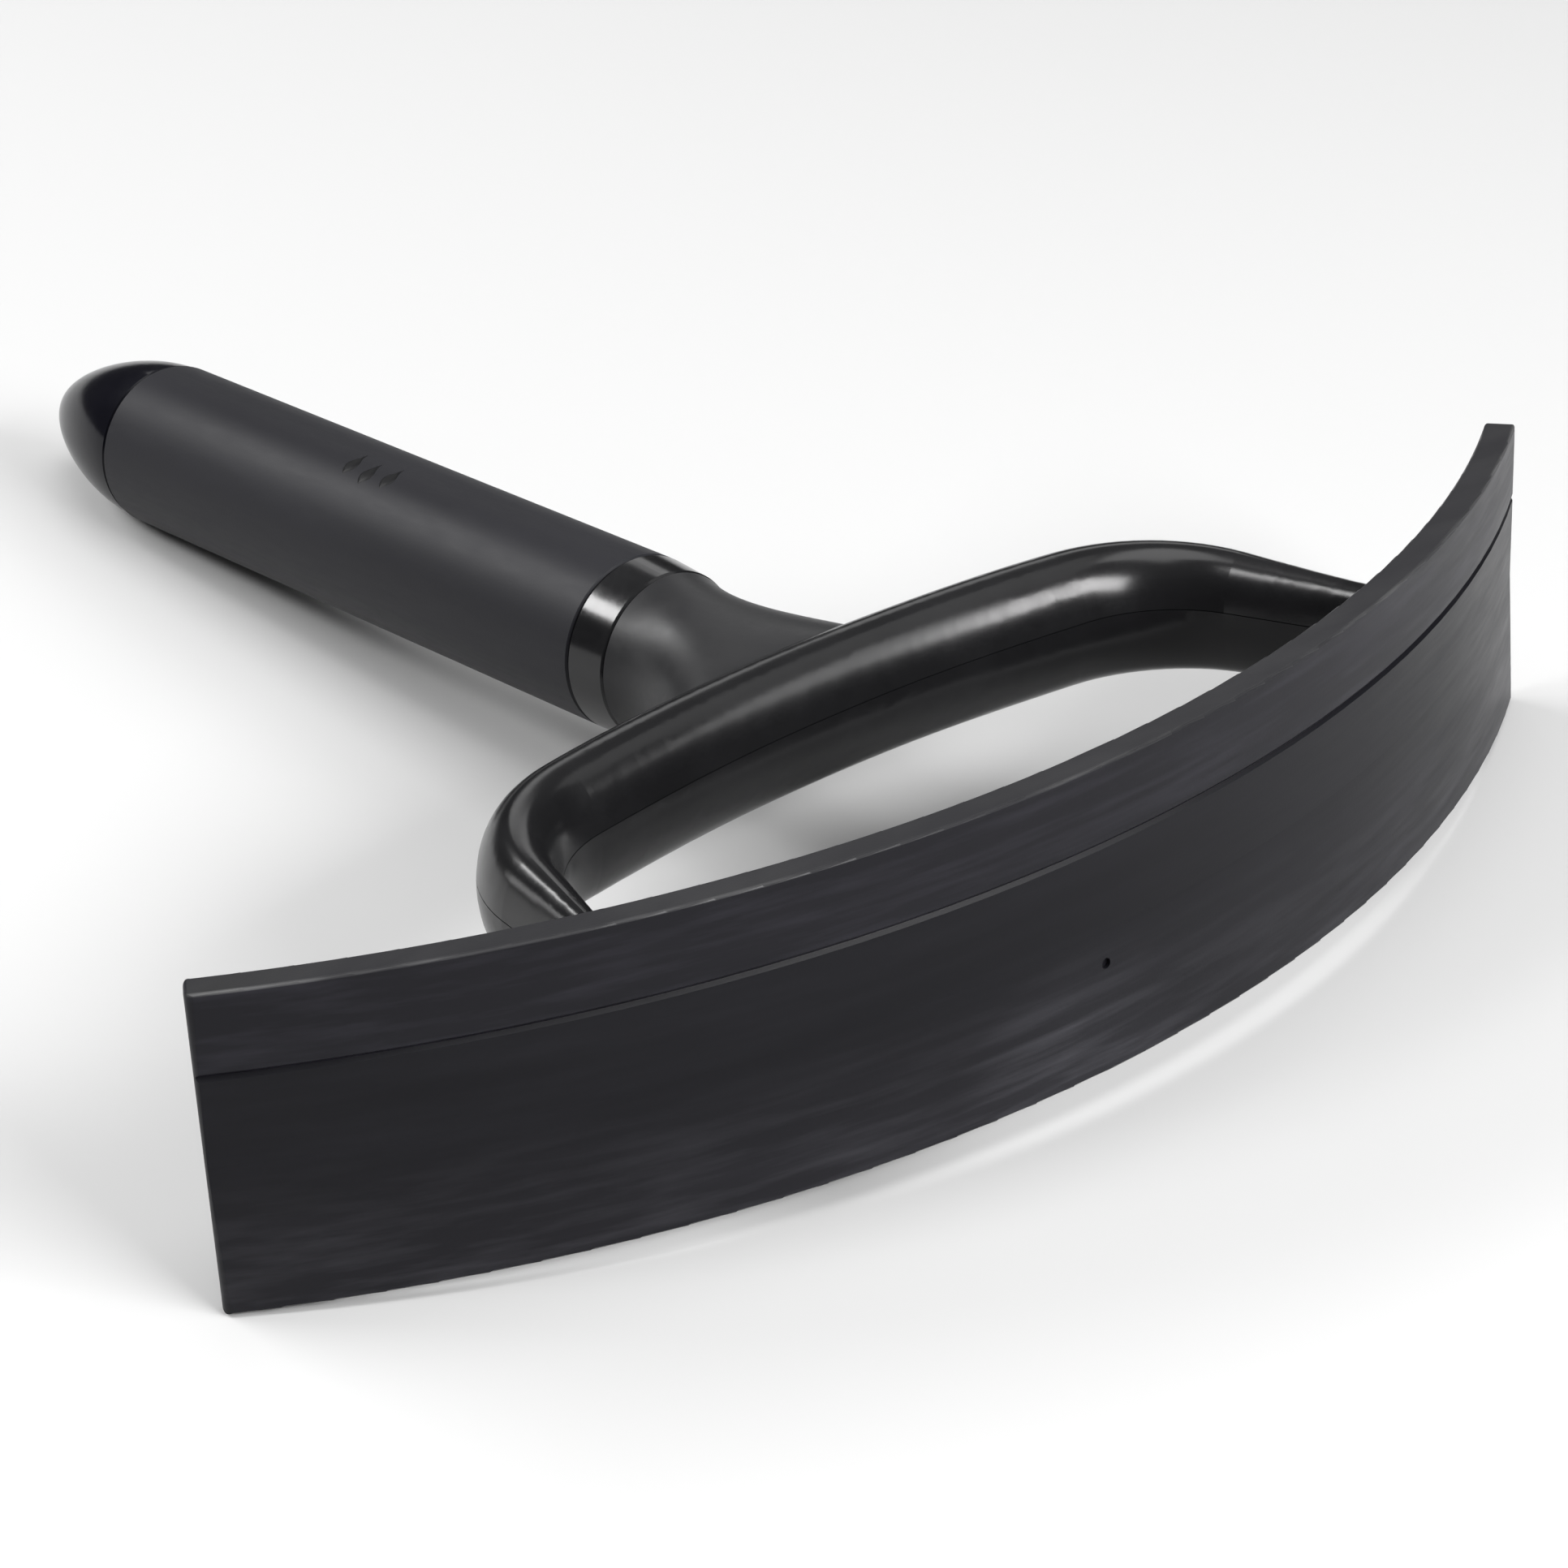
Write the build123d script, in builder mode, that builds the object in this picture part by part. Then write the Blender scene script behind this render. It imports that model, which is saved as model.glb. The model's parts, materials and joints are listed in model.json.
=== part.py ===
from build123d import *

import os
from math import asin, atan2, cos, degrees, radians, sin

# A hand scraper that strips water and sweat from a wet coat: a curved rubber blade across the
# front of a closed loop frame, and a round hand grip behind it.
#
# The pieces are drawn in the tool's own axes, in millimetres. +X runs along the grip towards the
# blade, +Y across the blade and +Z out of the loop. The front of the blade touches x = 0 and the
# grip's axis is the X axis. At the end every piece is turned together into the pose in which the
# tool lies on a table, on the blade's lip and the grip's heel.


# ---------------------------------------------------------------- driving dimensions

# Blade: a moulded rubber strip, bent round an upright axis behind its outer face.
blade_radius = 247.0
blade_half_angle = 33.85
blade_above = 15.0
blade_below = 36.0
blade_thickness = 5.2
lip_thickness = 3.0
crease_drop = 12.5
face_hollow = 0.6
groove_rise = 1.8
groove_width = 1.2
groove_depth = 0.5
blade_corner_round = 0.6
blade_end_round = 1.6
blade_edge_round = 0.4
gate_mark_radius = 0.85
gate_mark_drop = 18.0
gate_mark_offset = -3.6
gate_mark_depth = 0.6

# Rib on the back of the blade: a T in section, clamped between the two loop shells.
rib_stem_depth = 2.0
rib_stem_height = 2.5
rib_head_depth = 4.0
rib_head_height = 4.0
rib_half_angle = 18.5
groove_end_angle = 0.2

# Loop frame: an elliptical tube with a shallow curve at the back, two corners and two legs that
# flare out and grow slimmer towards the blade.
tube_width = 14.8
tube_height = 23.4
tube_wall = 2.6
leg_end_width = 8.0
leg_end_height = 18.8
back_bar_depth = 70.6
back_bar_radius = 294.0
corner_radius = 27.0
leg_offset = 74.0
leg_flare = 14.5
leg_length = 30.0
hollow_leg_length = 6.0
parting_rise = 2.0
parting_gap = 0.16

# Front bar: joins the legs and carries the blade along its back face. It grows shallower towards
# its ends, which stop short of the blade's.
bar_end_margin = 2.4
bar_above = 5.9
bar_depth_middle = 9.2
bar_depth_end = 3.8

# Screws that close the two loop shells from below.
screw_radius = 1.5
screw_bite = 2.6
screw_head_radius = 2.6
screw_head_height = 1.8
screw_recess = 0.8
screw_slot_width = 0.8
screw_slot_length = 3.4
screw_slot_depth = 0.9
boss_radius = 3.8
boss_sink = 0.5
back_screw_offset = 46.0
bar_screw_angles = (-16.0, -5.5, 5.5, 16.0)

# Neck: a saddle between the loop's back and the grip, round a tongue on the loop shells.
neck_rear = 103.3
neck_rear_radius = 14.2
neck_waist_radius = 13.3
neck_waist = 98.5
neck_middle = 88.0
neck_middle_half_width = 15.5
neck_middle_half_height = 12.4
neck_front = 71.0
neck_front_half_width = 26.0
neck_front_half_height = 10.7
neck_back_wall = 2.4
tongue_radius = 8.5

# Grip: a rubber sleeve on a hollow core, a collar ring in front and a domed cap behind.
grip_radius = 15.0
grip_rear = 245.5
sleeve_wall = 3.0
ring_length = 8.0
ring_front_radius = 14.4
ring_wall = 3.6
core_bore_radius = 8.0
core_floor = 5.0
core_pocket_radius = 10.0
core_pocket_depth = 11.5
core_setback = 1.0
cap_length = 32.5
cap_step = 0.2
cap_fullness = 0.414
cap_spigot_wall = 2.4
cap_spigot_length = 9.0
cap_hollow_depth = 12.0

# Tie bolt through the grip, with its washer and its nut.
bolt_radius = 3.0
bolt_overrun = 3.4
bolt_head_radius = 5.0
bolt_head_height = 6.0
bolt_socket_flats = 5.0
bolt_socket_depth = 3.0
washer_radius = 6.2
washer_thickness = 1.6
nut_flats = 10.0
nut_height = 5.0
nut_place = 88.0
# Turned so that two flats are upright and the nut drops into the lower shell.
nut_turn = 30.0

# Fits.
slip = 0.05
seam_gap = 0.25
bolt_clearance = 0.3
screw_clearance = 0.2
edge_break = 0.35


# ---------------------------------------------------------------- shared geometry

blade_axis = Axis((-blade_radius, 0, 0), (0, 0, 1))
blade_back_radius = blade_radius - blade_thickness
bar_half_angle = blade_half_angle - bar_end_margin
rib_depth = rib_stem_depth + rib_head_depth
tube_half_height = tube_height / 2

# Each corner arc touches the back arc at one end and the leg at the other. Both angles are
# measured from the -X direction, seen from the centre of the arc.
back_arc_x = back_bar_radius - back_bar_depth
leg_angle = 90 - leg_flare
corner_y = leg_offset - corner_radius * sin(radians(leg_angle))
back_arc_angle = degrees(asin(corner_y / (back_bar_radius - corner_radius)))
corner_x = back_arc_x - (back_bar_radius - corner_radius) * cos(radians(back_arc_angle))
leg_start_x = corner_x - corner_radius * cos(radians(leg_angle))

screw_head_z = -tube_half_height + screw_recess
screw_seat_z = screw_head_z + screw_head_height
screw_tip_z = parting_rise + screw_bite

ring_front = neck_rear + seam_gap
ring_rear = ring_front + ring_length
core_radius = grip_radius - sleeve_wall
core_spigot_radius = ring_front_radius - ring_wall
core_rear = grip_rear - core_setback
core_pocket_floor = core_rear - core_pocket_depth
bolt_seat = core_pocket_floor + washer_thickness
bolt_length = bolt_seat - nut_place + bolt_overrun
bolt_hole_radius = bolt_radius + bolt_clearance
cap_front = grip_rear + seam_gap


def across(depth):
    """Plane across the grip, behind the blade's front by this depth, facing the blade."""
    return Plane(origin=(-depth, 0, 0), x_dir=(0, 1, 0), z_dir=(1, 0, 0))


def blade_section(angle):
    """Upright plane through the blade's axis: local x is the radius and local y is the height."""
    outward = (cos(radians(angle)), sin(radians(angle)), 0)
    sideways = (sin(radians(angle)), -cos(radians(angle)), 0)
    return Plane(origin=(-blade_radius, 0, 0), x_dir=outward, z_dir=sideways)


def on_arc(radius, angle):
    """Point in plan at this radius from the blade's axis and this angle from the X axis."""
    return (radius * cos(radians(angle)) - blade_radius, radius * sin(radians(angle)))


def back_bar_x(offset):
    """Place of the back bar's centre line at this offset from the X axis."""
    return back_arc_x - (back_bar_radius**2 - offset**2) ** 0.5


bar_screw_radius = blade_back_radius - rib_stem_depth - rib_head_depth / 2
bar_screw_places = [on_arc(bar_screw_radius, angle) for angle in bar_screw_angles]
tube_screw_places = [(back_bar_x(back_screw_offset), side * back_screw_offset) for side in (-1, 1)]
screw_places = tube_screw_places + bar_screw_places


# ---------------------------------------------------------------- blade

def rib_body(play, half_angle):
    """T-section rib along the back of the blade, grown all round by the given play."""
    stem_top, stem_foot = (parting_rise + turn * (rib_stem_height / 2 + play) for turn in (1, -1))
    head_top, head_foot = (parting_rise + turn * (rib_head_height / 2 + play) for turn in (1, -1))
    head_front = blade_back_radius - rib_stem_depth + play
    head_back = blade_back_radius - rib_depth - play
    with BuildPart() as rib:
        with BuildSketch(blade_section(-half_angle)):
            with BuildLine():
                Polyline(
                    (blade_back_radius, stem_top),
                    (head_front, stem_top),
                    (head_front, head_top),
                    (head_back, head_top),
                    (head_back, head_foot),
                    (head_front, head_foot),
                    (head_front, stem_foot),
                    (blade_back_radius, stem_foot),
                    close=True,
                )
            make_face()
        revolve(axis=blade_axis, revolution_arc=2 * half_angle)
    return rib.part


lip_z = -blade_below
crease_z = -crease_drop
hollow_radius = blade_radius - face_hollow
# The face leans in from the top edge to the crease, so the groove sits a little inside the arc.
groove_share = (blade_above - groove_rise) / (blade_above + crease_drop)
groove_face = blade_radius - face_hollow * groove_share

rib = rib_body(0.0, rib_half_angle)

with BuildPart() as scraper_blade:
    with BuildSketch(blade_section(-blade_half_angle)):
        with BuildLine():
            Polyline(
                (blade_back_radius, blade_above),
                (blade_radius, blade_above),
                (groove_face, groove_rise + groove_width / 2),
                (groove_face - groove_depth, groove_rise),
                (groove_face, groove_rise - groove_width / 2),
                (hollow_radius, crease_z),
                (blade_radius, lip_z),
                (blade_radius - lip_thickness, lip_z),
                (blade_back_radius, crease_z),
                close=True,
            )
        make_face()
        long_edges = vertices().group_by(Axis.Y)[0] + vertices().group_by(Axis.Y)[-1]
        fillet(long_edges, blade_edge_round)
    revolve(axis=blade_axis, revolution_arc=2 * blade_half_angle)
    with BuildSketch(Plane.XY.offset(lip_z)):
        with BuildLine():
            front = CenterArc((-blade_radius, 0), blade_radius, -blade_half_angle, 2 * blade_half_angle)
            back = CenterArc((-blade_radius, 0), blade_back_radius, -blade_half_angle, 2 * blade_half_angle)
            Line(front @ 0, back @ 0)
            Line(front @ 1, back @ 1)
        make_face()
        fillet(vertices(), blade_end_round)
    extrude(amount=blade_above + blade_below, mode=Mode.INTERSECT)
    for side in (-1, 1):
        end_x, end_y = on_arc(blade_radius, side * blade_half_angle)
        outward = (cos(radians(blade_half_angle)), side * sin(radians(blade_half_angle)), 0)
        along = (-outward[1], outward[0], 0)
        with BuildSketch(Plane(origin=(end_x, end_y, 0), x_dir=along, z_dir=outward)):
            for z, turn in ((blade_above, -1), (lip_z, 1)):
                corner = (-side * blade_corner_round / 2, z + turn * blade_corner_round / 2)
                with Locations(corner):
                    Rectangle(blade_corner_round, blade_corner_round)
                with Locations((-side * blade_corner_round, z + turn * blade_corner_round)):
                    Circle(blade_corner_round, mode=Mode.SUBTRACT)
        extrude(amount=2 * blade_thickness, both=True, mode=Mode.SUBTRACT)
    add(rib)
    with Locations(*[(x, y, parting_rise) for x, y in bar_screw_places]):
        Cylinder(screw_radius + screw_clearance, rib_head_height, mode=Mode.SUBTRACT)
    with Locations((0, gate_mark_offset, -gate_mark_drop)):
        Cylinder(gate_mark_radius, 2 * (gate_mark_depth + face_hollow), rotation=(0, 90, 0), mode=Mode.SUBTRACT)


# ---------------------------------------------------------------- loop frame

def leg_point(side, length):
    """Point in plan on a leg's centre line, this far in front of the corner."""
    reach = leg_start_x + length * cos(radians(leg_flare))
    return (reach, side * (leg_offset + length * sin(radians(leg_flare))))


def loop_tube(length, wall):
    """Elliptical tube round the loop, with legs of this length, thinner all round by the wall."""
    turn = leg_angle - back_arc_angle
    with BuildPart() as tube:
        with BuildLine() as route:
            Line(leg_point(1, length), leg_point(1, 0))
            CenterArc((corner_x, corner_y), corner_radius, 180 - leg_angle, turn)
            CenterArc((back_arc_x, 0), back_bar_radius, 180 - back_arc_angle, 2 * back_arc_angle)
            CenterArc((corner_x, -corner_y), corner_radius, 180 + back_arc_angle, turn)
            Line(leg_point(-1, 0), leg_point(-1, length))
        path = route.wires()[0]
        # The tube keeps its full size along the back arc and narrows along each corner and leg.
        taper_run = length + corner_radius * radians(turn)
        full_taper_run = leg_length + corner_radius * radians(turn)
        back_run = path.length - 2 * taper_run
        for run in (
            0,
            taper_run / 2,
            taper_run,
            taper_run + back_run / 4,
            path.length / 2,
            path.length - taper_run - back_run / 4,
            path.length - taper_run,
            path.length - taper_run / 2,
            path.length,
        ):
            share = max(0, taper_run - run, run + taper_run - path.length) / full_taper_run
            width = tube_width + (leg_end_width - tube_width) * share
            height = tube_height + (leg_end_height - tube_height) * share
            place = path @ (run / path.length)
            along = path % (run / path.length)
            with BuildSketch(Plane(origin=place, x_dir=(-along.Y, along.X, 0), z_dir=along)):
                Ellipse(width / 2 - wall, height / 2 - wall)
        sweep(path=path, multisection=True)
    return tube.part


outer_tube = loop_tube(leg_length, 0)
inner_tube = loop_tube(hollow_leg_length, tube_wall)
rib_groove = rib_body(slip, rib_half_angle + groove_end_angle)

with BuildPart() as loop_frame:
    add(outer_tube)
    add(inner_tube, mode=Mode.SUBTRACT)
    with Locations(*tube_screw_places):
        Cylinder(boss_radius, 2 * (tube_half_height - tube_wall + boss_sink))
    with BuildSketch(Plane.XY.offset(-tube_half_height)):
        with BuildLine():
            front_arc = CenterArc((-blade_radius, 0), blade_back_radius, -bar_half_angle, 2 * bar_half_angle)
            back_end = on_arc(blade_back_radius - bar_depth_end, bar_half_angle)
            back_start = (back_end[0], -back_end[1])
            back_middle = (-blade_thickness - bar_depth_middle, 0)
            back_arc = ThreePointArc(back_start, back_middle, back_end)
            Line(front_arc @ 0, back_arc @ 0)
            Line(front_arc @ 1, back_arc @ 1)
        make_face()
    extrude(amount=tube_half_height + bar_above)
    add(rib_groove, mode=Mode.SUBTRACT)
    with BuildSketch(across(neck_rear - neck_back_wall - slip)):
        Circle(tongue_radius)
    extrude(amount=neck_rear - neck_back_wall - slip - back_bar_depth)
    with BuildSketch(across(nut_place + nut_height + slip)):
        RegularPolygon(nut_flats / 2 + slip, 6, major_radius=False, rotation=nut_turn)
    extrude(amount=nut_height + 2 * slip, mode=Mode.SUBTRACT)
    with BuildSketch(across(neck_rear)):
        Circle(bolt_hole_radius)
    extrude(amount=neck_rear - bolt_seat + bolt_length + screw_radius, mode=Mode.SUBTRACT)
    with Locations((-blade_radius, 0, 0)):
        Cylinder(blade_back_radius, 2 * tube_height, mode=Mode.INTERSECT)


def loop_shell(side, hole_radius, head_room):
    """Half of the loop frame on one side of the parting plane, with its screw holes."""
    with BuildPart() as shell:
        add(loop_frame.part)
        split(
            bisect_by=Plane.XY.offset(parting_rise + side * parting_gap / 2),
            keep=Keep.TOP if side > 0 else Keep.BOTTOM,
        )
        with Locations(*[(x, y, (screw_seat_z + screw_tip_z) / 2) for x, y in screw_places]):
            Cylinder(hole_radius, screw_tip_z - screw_seat_z + 2 * screw_clearance, mode=Mode.SUBTRACT)
        if head_room:
            with Locations(*[(x, y, screw_seat_z) for x, y in screw_places]):
                Cylinder(
                    screw_head_radius + screw_clearance,
                    tube_half_height,
                    align=(Align.CENTER, Align.CENTER, Align.MAX),
                    mode=Mode.SUBTRACT,
                )
    return shell


loop_upper_shell = loop_shell(1, screw_radius, head_room=False)
loop_lower_shell = loop_shell(-1, screw_radius + screw_clearance, head_room=True)


# ---------------------------------------------------------------- shell screws

with BuildPart() as shell_screw:
    with BuildSketch(Plane.XY.offset(screw_head_z)):
        Circle(screw_head_radius)
    extrude(amount=screw_head_height)
    chamfer(shell_screw.faces().sort_by(Axis.Z)[0].edges(), edge_break)
    with BuildSketch(Plane.XY.offset(screw_seat_z)):
        Circle(screw_radius)
    extrude(amount=screw_tip_z - screw_seat_z)
    chamfer(shell_screw.faces().sort_by(Axis.Z)[-1].edges(), edge_break)
    with BuildSketch(Plane.XY.offset(screw_head_z)):
        Rectangle(screw_slot_length, screw_slot_width)
        Rectangle(screw_slot_width, screw_slot_length)
    extrude(amount=screw_slot_depth, mode=Mode.SUBTRACT)

with BuildPart() as shell_screws:
    with Locations(*screw_places):
        add(shell_screw.part)


# ---------------------------------------------------------------- neck

with BuildPart() as neck:
    with BuildSketch(across(neck_rear)):
        Circle(neck_rear_radius)
    with BuildSketch(across(neck_waist)):
        Circle(neck_waist_radius)
    with BuildSketch(across(neck_middle)):
        Ellipse(neck_middle_half_width, neck_middle_half_height)
    with BuildSketch(across(neck_front)):
        Ellipse(neck_front_half_width, neck_front_half_height)
    loft()
    add(outer_tube, mode=Mode.SUBTRACT)
    with BuildSketch(across(neck_rear - neck_back_wall)):
        Circle(tongue_radius + slip)
    extrude(amount=neck_rear, mode=Mode.SUBTRACT)
    with BuildSketch(across(neck_rear)):
        Circle(bolt_hole_radius)
    extrude(amount=neck_back_wall, mode=Mode.SUBTRACT)


# ---------------------------------------------------------------- grip

def turned(profile):
    """Solid turned about the grip's axis from a closed outline of (depth, radius) points."""
    with BuildPart() as piece:
        with BuildSketch(Plane.XZ):
            with BuildLine():
                Polyline(*[(-depth, radius) for depth, radius in profile], close=True)
            make_face()
        revolve(axis=Axis.X)
    return piece


collar_ring = turned(
    [
        (ring_front, core_spigot_radius + slip),
        (ring_front, ring_front_radius - edge_break),
        (ring_front + edge_break, ring_front_radius),
        (ring_rear - edge_break, grip_radius),
        (ring_rear, grip_radius - edge_break),
        (ring_rear, core_spigot_radius + slip),
    ]
)

grip_core = turned(
    [
        (neck_rear + slip, core_bore_radius),
        (neck_rear + slip, core_spigot_radius),
        (ring_rear + slip, core_spigot_radius),
        (ring_rear + slip, core_radius),
        (core_rear, core_radius),
        (core_rear, core_pocket_radius),
        (core_pocket_floor, core_pocket_radius),
        (core_pocket_floor, bolt_hole_radius),
        (core_pocket_floor - core_floor, bolt_hole_radius),
        (core_pocket_floor - core_floor, core_bore_radius),
    ]
)

grip_sleeve = turned(
    [
        (ring_rear + seam_gap, core_radius + slip),
        (ring_rear + seam_gap, grip_radius - edge_break),
        (ring_rear + seam_gap + edge_break, grip_radius),
        (grip_rear - edge_break, grip_radius),
        (grip_rear, grip_radius - edge_break),
        (grip_rear, core_radius + slip),
    ]
)

with BuildPart() as end_cap:
    with BuildSketch(Plane.XZ):
        with BuildLine():
            rim = grip_radius - cap_step
            nose = cap_front + cap_length
            Line((-cap_front, 0), (-cap_front, rim))
            Bezier(
                (-cap_front, rim),
                (-cap_front - cap_fullness * cap_length, rim),
                (-nose, cap_fullness * rim),
                (-nose, 0),
            )
            Line((-nose, 0), (-cap_front, 0))
        make_face()
    revolve(axis=Axis.X)
    chamfer(end_cap.faces().sort_by(Axis.X)[-1].edges(), edge_break)
    with BuildSketch(across(cap_front)):
        Circle(core_pocket_radius - slip)
    extrude(amount=cap_spigot_length)
    with BuildSketch(across(cap_front + cap_hollow_depth)):
        Circle(core_pocket_radius - cap_spigot_wall)
    extrude(amount=cap_hollow_depth + cap_spigot_length, mode=Mode.SUBTRACT)


# ---------------------------------------------------------------- tie bolt, washer and nut

with BuildPart() as tie_bolt:
    with BuildSketch(across(bolt_seat)):
        Circle(bolt_radius)
    extrude(amount=bolt_length)
    chamfer(tie_bolt.faces().sort_by(Axis.X)[-1].edges(), edge_break)
    with BuildSketch(across(bolt_seat + bolt_head_height)):
        Circle(bolt_head_radius)
    extrude(amount=bolt_head_height)
    chamfer(tie_bolt.faces().sort_by(Axis.X)[0].edges(), edge_break)
    with BuildSketch(across(bolt_seat + bolt_head_height)):
        RegularPolygon(bolt_socket_flats / 2, 6, major_radius=False)
    extrude(amount=bolt_socket_depth, mode=Mode.SUBTRACT)

with BuildPart() as bolt_washer:
    with BuildSketch(across(bolt_seat)):
        Circle(washer_radius)
        Circle(bolt_hole_radius, mode=Mode.SUBTRACT)
    extrude(amount=washer_thickness)

with BuildPart() as tie_nut:
    with BuildSketch(across(nut_place + nut_height)):
        RegularPolygon(nut_flats / 2, 6, major_radius=False, rotation=nut_turn)
        Circle(bolt_radius + slip, mode=Mode.SUBTRACT)
    extrude(amount=nut_height)


# ---------------------------------------------------------------- resting pose and output

pieces = {
    "scraper_blade": scraper_blade,
    "loop_upper_shell": loop_upper_shell,
    "loop_lower_shell": loop_lower_shell,
    "shell_screws": shell_screws,
    "neck": neck,
    "collar_ring": collar_ring,
    "grip_core": grip_core,
    "grip_sleeve": grip_sleeve,
    "end_cap": end_cap,
    "tie_bolt": tie_bolt,
    "bolt_washer": bolt_washer,
    "tie_nut": tie_nut,
}

# The tool rests on the two ends of the lip and on the heel of the sleeve.
lip_end = on_arc(blade_radius - lip_thickness, blade_half_angle)[0]
lean = degrees(atan2(blade_below - grip_radius, grip_rear + lip_end))
leaned = Compound([piece.part for piece in pieces.values()]).moved(Rotation(0, -lean, 0))
box = leaned.bounding_box()
resting = Pos(-box.center().X, -box.center().Y, -box.min.Z) * Rotation(0, -lean, 0)

os.makedirs("parts", exist_ok=True)
for label, piece in pieces.items():
    piece.part = piece.part.moved(resting)
    piece.part.label = label
    export_step(piece.part, f"parts/{label}.step")
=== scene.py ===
"""Looks for a sweat scraper: a curved rubber blade on a closed loop frame with a straight grip.

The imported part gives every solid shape. Each sub-assembly class below dresses its own pieces with
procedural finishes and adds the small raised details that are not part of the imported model.
"""

import json
import logging
import math
from dataclasses import dataclass, field
from enum import Enum

import bmesh
import bpy
from mathutils import Matrix, Vector


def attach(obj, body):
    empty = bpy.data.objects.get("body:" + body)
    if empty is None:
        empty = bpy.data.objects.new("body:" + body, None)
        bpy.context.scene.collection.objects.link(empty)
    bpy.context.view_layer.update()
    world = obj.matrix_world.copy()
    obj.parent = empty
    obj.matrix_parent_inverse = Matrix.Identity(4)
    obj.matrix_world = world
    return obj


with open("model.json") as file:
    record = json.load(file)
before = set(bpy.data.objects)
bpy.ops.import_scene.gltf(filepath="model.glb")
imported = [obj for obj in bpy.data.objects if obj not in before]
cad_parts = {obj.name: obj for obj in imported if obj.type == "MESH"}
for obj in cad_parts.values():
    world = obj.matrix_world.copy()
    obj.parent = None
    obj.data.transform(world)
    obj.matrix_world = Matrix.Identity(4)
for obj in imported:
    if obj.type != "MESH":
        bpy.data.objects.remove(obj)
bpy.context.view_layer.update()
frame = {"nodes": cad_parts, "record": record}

BLADE_RADIUS = 0.247  # radius of the blade's outer face, in metres
GRIP_RADIUS = 0.015  # outer radius of the sleeve, in metres
GRIP_CENTRE_DEPTH = 0.178525  # from the blade back to the middle of the grip mount, in metres
BLADE_DEPTH_SHARE = 0.2  # how much a pattern on the blade changes with the depth behind its face
NOISE_ROUGHNESS = 0.55  # strength of each finer noise layer against the one before it
MIX_SHARE, MIX_FIRST, MIX_SECOND, MIX_RESULT = 0, 6, 7, 2  # colour sockets of Blender's Mix node
WHITE = (1.0, 1.0, 1.0, 1.0)

log = logging.getLogger("sweat_scraper")


class Lay(Enum):
    """The way a surface pattern runs over a piece."""

    EVEN = "even"
    ALONG_GRIP = "along_grip"
    ALONG_BLADE = "along_blade"


@dataclass(frozen=True)
class ToolAxes:
    """Where the tool's own axes lie: x along the grip to the blade, z out of the loop.

    Attributes:
        origin: The blade's outer middle, in metres.
        lean: How far the grip slopes, in radians.
    """

    origin: Vector
    lean: float

    @classmethod
    def from_record(cls, record: dict, grip_centre_depth: float) -> "ToolAxes":
        """Read the axes from the grip mount.

        Args:
            record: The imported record.
            grip_centre_depth: Distance from the blade back to the middle of the grip mount.

        Returns:
            The tool's axes in the part's frame.
        """
        grip = next(m for m in record["mounts"] if m["name"] == "grip")
        forward = -Vector(grip["axis"]).normalized()
        origin = Vector(grip["pos_m"]) + forward * grip_centre_depth
        return cls(origin, math.atan2(forward.z, forward.x))

    def place(self, point: tuple[float, float, float]) -> Vector:
        """Turn a point in the tool's axes into the part's frame.

        Args:
            point: A point in the tool's axes, in metres.

        Returns:
            The same point in the part's frame.
        """
        return Matrix.Rotation(-self.lean, 3, "Y") @ Vector(point) + self.origin


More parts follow.
